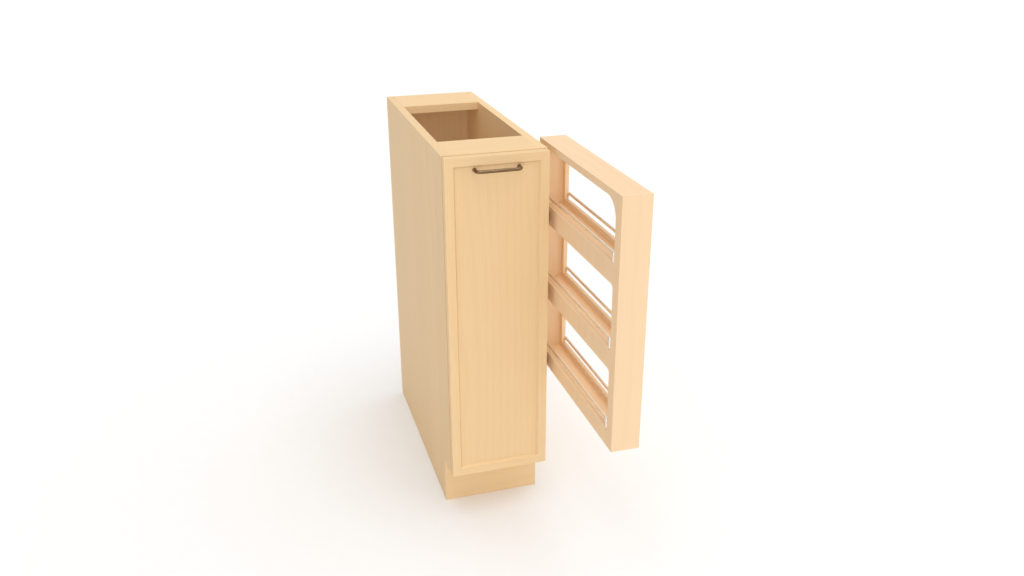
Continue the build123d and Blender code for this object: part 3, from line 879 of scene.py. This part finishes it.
def fit_ball_cages():
    """A strip with a rolled collar round every ball."""
    for seed, node in enumerate(("outer_ball_cages", "inner_ball_cages")):
        rows = solids_of(node)
        ball_radius = (rows[0][1].z - rows[0][0].z) / 2
        ball_and_collar = bmesh.new()
        ball = [(0, -ball_radius)]
        for i in range(1, 10):
            turn = math.pi * i / 10
            ball.append((ball_radius * math.sin(turn), -ball_radius * math.cos(turn)))
        add_turned(ball_and_collar, ball + [(0, ball_radius)], steps=16)
        add_turned(ball_and_collar, [(0.80 * MM, -0.42 * MM), (1.20 * MM, -0.42 * MM), (1.32 * MM, -0.1 * MM),
                                     (1.32 * MM, 0.1 * MM), (1.20 * MM, 0.42 * MM), (0.80 * MM, 0.42 * MM)],
                   closed=True, steps=16)
        bmesh.ops.recalc_face_normals(ball_and_collar, faces=ball_and_collar.faces)
        places = []
        strips = bmesh.new()
        for low, high, points in rows:
            middle = (low + high) / 2
            pitch = (high.y - low.y) / BALLS_PER_ROW
            places += [Vector((middle.x, low.y + pitch * (i + 0.5), middle.z)) for i in range(BALLS_PER_ROW)]
            strip = bmesh.ops.create_cube(strips, size=1.0)["verts"]
            bmesh.ops.scale(strips, verts=strip, vec=(high.x - low.x, high.y - low.y, 0.6 * MM))
            bmesh.ops.translate(strips, verts=strip, vec=middle)
        corners = [e for e in strips.edges if abs(e.verts[0].co.z - e.verts[1].co.z) > 0.1 * MM]
        bmesh.ops.bevel(strips, geom=corners, offset=1.2 * MM, segments=4, affect="EDGES")
        balls = fit_set(node, mesh_of("ball_and_collar", ball_and_collar), places,
                        [Vector((0, 0, 1))] * len(places), "ball_steel", seed + 31)
        keep(new_object(node + "_set", joined(node + "_set", balls, mesh_of(node, strips))), node)


# ======================================================================
# Rods and handle
# ======================================================================
def upright_pin(name, x, y, low, high, radius):
    """A short pin with eased ends."""
    ease = radius * 0.12
    pin = turned(name, [(0, low), (radius - ease, low), (radius, low + ease), (radius, high - ease),
                        (radius - ease, high), (0, high)], steps=20)
    pin.transform(Matrix.Translation((x, y, 0)))
    return pin


def bend_gallery_rods():
    """A rod over each rail of the rack, with a thin pin at each foot."""
    for tier in ("bottom", "middle", "top"):
        node = "rack_rods_" + tier
        meshes = []
        for low, high, points in solids_of(node):
            x = (low.x + high.x) / 2
            legs = (low.y + GALLERY_ROD, high.y - GALLERY_ROD)
            rail_top = low.z + SPIGOT_DEPTH
            crown = high.z - GALLERY_ROD
            path = [(x, legs[0], rail_top), (x, legs[0], crown), (x, legs[1], crown), (x, legs[1], rail_top)]
            meshes.append(run_rod(node, path, GALLERY_ROD, "rod_metal", ROD_BEND))
            meshes += [upright_pin("spigot", x, y, low.z, rail_top + 0.2 * MM, SPIGOT) for y in legs]
        keep(new_object(node + "_bent", joined(node + "_bent", *meshes)), node)


def run_organizer_rods():
    """Straight rods beside the organizer's shelves."""
    meshes = []
    for low, high, points in solids_of("organizer_rods"):
        middle = (low + high) / 2
        path = [(middle.x, low.y, middle.z), (middle.x, high.y, middle.z)]
        meshes.append(run_rod("organizer_rod", path, (high.z - low.z) / 2, "rod_metal"))
    keep(new_object("organizer_rods_run", joined("organizer_rods_run", *meshes)), "organizer_rods")


def bend_handle():
    """A round bar bent back at both ends, with a collar at each foot."""
    handle_low, handle_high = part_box("handle")
    foot = (handle_high.z - handle_low.z) / 2
    handle_z = (handle_high.z + handle_low.z) / 2
    posts = (handle_low.x + foot, handle_high.x - foot)
    bar = handle_low.y + HANDLE_BAR
    seat = handle_high.y
    path = [(posts[0], seat, handle_z), (posts[0], bar, handle_z), (posts[1], bar, handle_z),
            (posts[1], seat, handle_z)]
    meshes = [run_rod("handle_bar", path, HANDLE_BAR, "bronze", ROD_BEND)]
    for x in posts:
        collar = turned("collar", [(0, 0), (foot, 0), (foot, 0.5 * MM), (foot - 0.25 * MM, 0.95 * MM),
                                   (foot - 0.9 * MM, 1.25 * MM), (HANDLE_BAR, COLLAR_THICKNESS),
                                   (0, COLLAR_THICKNESS)])
        collar.transform(Matrix.Translation((x, seat, handle_z)) @ Matrix.Rotation(math.radians(90), 4, "X"))
        meshes.append(collar)
    keep(new_object("handle_bent", joined("handle_bent", *meshes)), "handle")


# ======================================================================
# Rollers, axles and bumpers
# ======================================================================
def turn_rollers():
    """Grooved rollers with ribs in both faces."""
    for node in ("roller_upper_front", "roller_upper_rear", "roller_lower_front", "roller_lower_rear"):
        low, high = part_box(node)
        width = high.x - low.x
        radius = (high.z - low.z) / 2
        side = [(2.55, 0.35), (2.85, 0.0), (4.3, 0.0), (4.6, 0.25), (4.9, 1.0), (5.3, 1.25), (7.2, 1.25),
                (7.6, 1.0), (7.9, 0.25), (8.2, 0.0), (9.1, 0.0), (9.65, 0.25), (9.9, 0.9), (9.98, 2.2)]
        profile = [(r * MM, x * MM) for r, x in side] + [(radius, width / 2)]
        profile += [(r * MM, width - x * MM) for r, x in reversed(side)]
        wheel = turned(node + "_wheel", profile, closed=True)
        ribs = bmesh.new()
        ribs.from_mesh(wheel)
        for i in range(ROLLER_RIBS):
            turn = Matrix.Rotation(2 * math.pi * i / ROLLER_RIBS, 3, "Z")
            for face_place in (0.75 * MM, width - 0.75 * MM):
                rib = bmesh.ops.create_cube(ribs, size=1.0)["verts"]
                bmesh.ops.scale(ribs, verts=rib, vec=(3.2 * MM, 0.9 * MM, 1.1 * MM))
                bmesh.ops.translate(ribs, verts=rib, vec=(6.25 * MM, 0, face_place))
                bmesh.ops.rotate(ribs, verts=rib, matrix=turn)
        bpy.data.meshes.remove(wheel)
        wheel = smooth(mesh_of(node + "_wheel", ribs))
        place = Matrix.Translation(left_end(low, high))
        wheel.transform(place @ Matrix.Rotation(math.radians(90), 4, "Y"))
        keep(new_object(node + "_wheel", wheel), node)


def turn_axles():
    """Riveted axles with a shoulder against the carriage."""
    meshes = []
    carriage_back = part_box("carriage_upper")[0].x
    for low, high, points in solids_of("roller_axles"):
        length = high.x - low.x
        shoulder_end = carriage_back - low.x
        profile = [(0, 0), (3.0, 0.0), (4.0, 0.12), (4.45, 0.38), (4.5, 0.6), (2.5, 0.6), (2.5, 8.2),
                   (4.0, 8.2)]
        profile = [(r * MM, x * MM) for r, x in profile]
        profile += [(4.0 * MM, shoulder_end), (2.5 * MM, shoulder_end), (2.5 * MM, length), (0, length)]
        axle = turned("axle", profile)
        place = Matrix.Translation(left_end(low, high))
        axle.transform(place @ Matrix.Rotation(math.radians(90), 4, "Y"))
        meshes.append(axle)
    keep(new_object("roller_axles_turned", joined("roller_axles_turned", *meshes)), "roller_axles")


def turn_bumpers():
    """Domed pads behind the front."""
    meshes = []
    for low, high, points in solids_of("door_bumpers"):
        radius = (high.x - low.x) / 2
        thick = high.y - low.y
        profile = [(0, 0), (radius, 0), (radius, thick * 0.25)]
        profile += [(radius * math.cos(math.radians(a)), thick * (0.25 + 0.75 * math.sin(math.radians(a))))
                    for a in (20, 40, 60, 78)]
        pad = turned("pad", profile + [(0, thick)])
        place = Matrix.Translation(((low.x + high.x) / 2, low.y, (low.z + high.z) / 2))
        pad.transform(place @ Matrix.Rotation(math.radians(-90), 4, "X"))
        meshes.append(pad)
    keep(new_object("door_bumpers_pads", joined("door_bumpers_pads", *meshes)), "door_bumpers")


# ======================================================================
# Stage, light and camera
# ======================================================================
def lay_floor():
    """A plain pale floor."""
    floor_mesh = bpy.data.meshes.new("floor")
    floor_corners = [(x * FLOOR_REACH, y * FLOOR_REACH, 0) for x, y in ((-1, -1), (1, -1), (1, 1), (-1, 1))]
    floor_mesh.from_pydata(floor_corners, [], [(0, 1, 2, 3)])
    floor = new_object("floor", floor_mesh)
    floor_paint = Paint("pale_floor", roughness=0.9)
    floor_speckle = floor_paint.noise(floor_paint.place(), scale=30.0, detail=2.0)
    floor_tone = floor_paint.blend(floor_speckle, (0.85, 0.85, 0.848, 1), (0.87, 0.87, 0.868, 1))
    floor_paint.set(Base_Color=floor_tone)
    floor_paint.set(Specular_IOR_Level=0.0)
    floor.data.materials.append(floor_paint.material)


def light_studio():
    """Soft light from all round, a soft overhead sun and a weak fill."""
    sky = Sky("studio")
    across = sky.parts(sky.node("ShaderNodeTexCoord", output="Generated"))[0]
    all_round = across * SKY_TILT + SKY_LEVEL
    backdrop = sky.node("ShaderNodeLightPath", output="Is Camera Ray")
    sky.set(Color=(1.0, 1.0, 1.0, 1.0), Strength=all_round * (1.0 - backdrop) + backdrop)
    bpy.context.scene.world = sky.world
    for name, energy, angle, turns, shadow in LAMPS:
        lamp_data = bpy.data.lights.new(name, "SUN")
        lamp_data.energy = energy
        lamp_data.angle = math.radians(angle)
        lamp_data.use_shadow = shadow
        lamp = bpy.data.objects.new(name, lamp_data)
        lamp.rotation_euler = [math.radians(turn) for turn in turns]
        bpy.context.scene.collection.objects.link(lamp)


def aim_camera():
    """The camera, placed from the cabinet's lower front left corner."""
    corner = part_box("left_side")[0]
    camera_data = bpy.data.cameras.new("camera")
    camera_data.sensor_width = 36.0
    camera_data.lens = LENS
    camera_data.clip_end = 100.0
    camera = bpy.data.objects.new("camera", camera_data)
    camera.location = corner + Vector(CAMERA_FROM_CORNER)
    camera.rotation_euler = [math.radians(turn) for turn in CAMERA_TURNS]
    bpy.context.scene.collection.objects.link(camera)
    bpy.context.scene.camera = camera
    bpy.context.scene.view_settings.view_transform = "Standard"


finish_boards()
finish_steel()
fit_side_screws()
fit_handle_screws()
fit_organizer_screws()
fit_dowels()
fit_ball_cages()
bend_gallery_rods()
run_organizer_rods()
bend_handle()
turn_rollers()
turn_axles()
turn_bumpers()
lay_floor()
light_studio()
aim_camera()
